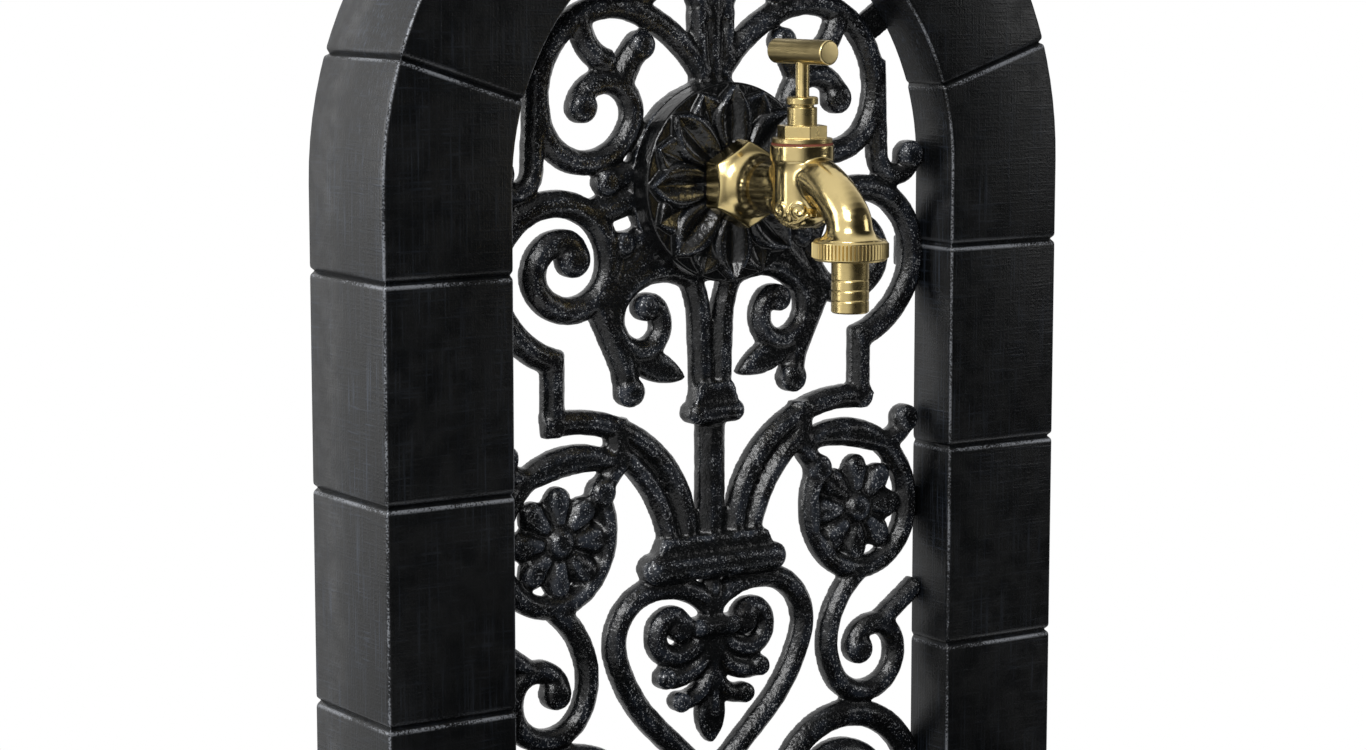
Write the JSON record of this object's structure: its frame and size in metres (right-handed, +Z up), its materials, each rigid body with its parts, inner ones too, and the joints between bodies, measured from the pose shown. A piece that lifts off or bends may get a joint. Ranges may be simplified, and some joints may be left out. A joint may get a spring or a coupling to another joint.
{
  "type": "garden water fountain",
  "caption": "Free-standing garden tap fountain: block-jointed cast arch with a scrollwork panel, brass bib tap with hose union on a rosette boss, half-round basin with drain.",
  "frame": {"origin": "on the ground, at the middle of the plinth's underside (centre of the bounding box's base)", "axes": "+Z up, -Y towards the viewer (the basin and the tap's spout), +X to the viewer's right, millimetres in the solids"},
  "size_m": [0.396, 0.262, 0.7022],
  "materials": {
    "black_iron": "black paint, brushed with silver",
    "scroll_iron": "gloss black paint, ridges brushed with silver",
    "polished_brass": "polished",
    "satin_brass": "turned, satin",
    "fibre": "pressed red fibre",
    "rubber": "moulded",
    "packing": "greased cord",
    "zinc_steel": "zinc plated",
    "drain_brass": "machined, dulled"
  },
  "bodies": {
    "stand": {"arch_surround": "black_iron", "backnut": "satin_brass", "backnut_washer": "zinc_steel", "base_bolts": "zinc_steel", "base_nuts": "zinc_steel", "basin": "black_iron", "basin_bolts": "zinc_steel", "basin_nuts": "zinc_steel", "bonnet": "satin_brass", "bonnet_washer": "fibre", "drain_backnut": "drain_brass", "drain_flange": "drain_brass", "drain_gasket": "rubber", "drain_strainer": "drain_brass", "gland_nut": "satin_brass", "gland_packing": "packing", "grille_panel": "scroll_iron", "grille_screws": "zinc_steel", "inlet_connector": "satin_brass", "inlet_seal": "fibre", "plinth": "black_iron", "tap_body": "polished_brass", "tap_boss": "black_iron", "wall_washer": "fibre"},
    "valve": {"jumper_valve": "satin_brass", "seat_washer": "rubber", "washer_nut": "satin_brass"},
    "turning_spindle": {"spindle": "satin_brass", "handle_bar": "satin_brass"},
    "outlet_tail": {"hose_tail": "satin_brass", "hose_washer": "fibre"},
    "hose_nut": {"union_nut": "polished_brass"}
  },
  "joints": [
    {"name": "valve_lift", "type": "slide", "parent": "stand", "child": "valve", "axis": [0, 0, 1], "range_m": [0, 0.00305]},
    {"name": "spindle_turn", "type": "hinge", "parent": "valve", "child": "turning_spindle", "pos_m": [0, 0.0243, 0.5812], "axis": [0, 0, 1], "range_deg": [0, 540]},
    {"name": "tail_drop", "type": "slide", "parent": "stand", "child": "outlet_tail", "axis": [0, 0, -1], "range_m": [0, 0.0037]},
    {"name": "union_nut_turn", "type": "hinge", "parent": "outlet_tail", "child": "hose_nut", "pos_m": [0, -0.0096, 0.5016], "axis": [0, 0, -1], "range_deg": [0, 720]}
  ],
  "couplings": [
    {"joint": "valve_lift", "follows": "spindle_turn", "m_per_rad": 0.00031831},
    {"joint": "tail_drop", "follows": "union_nut_turn", "m_per_rad": 0.00028871}
  ]
}
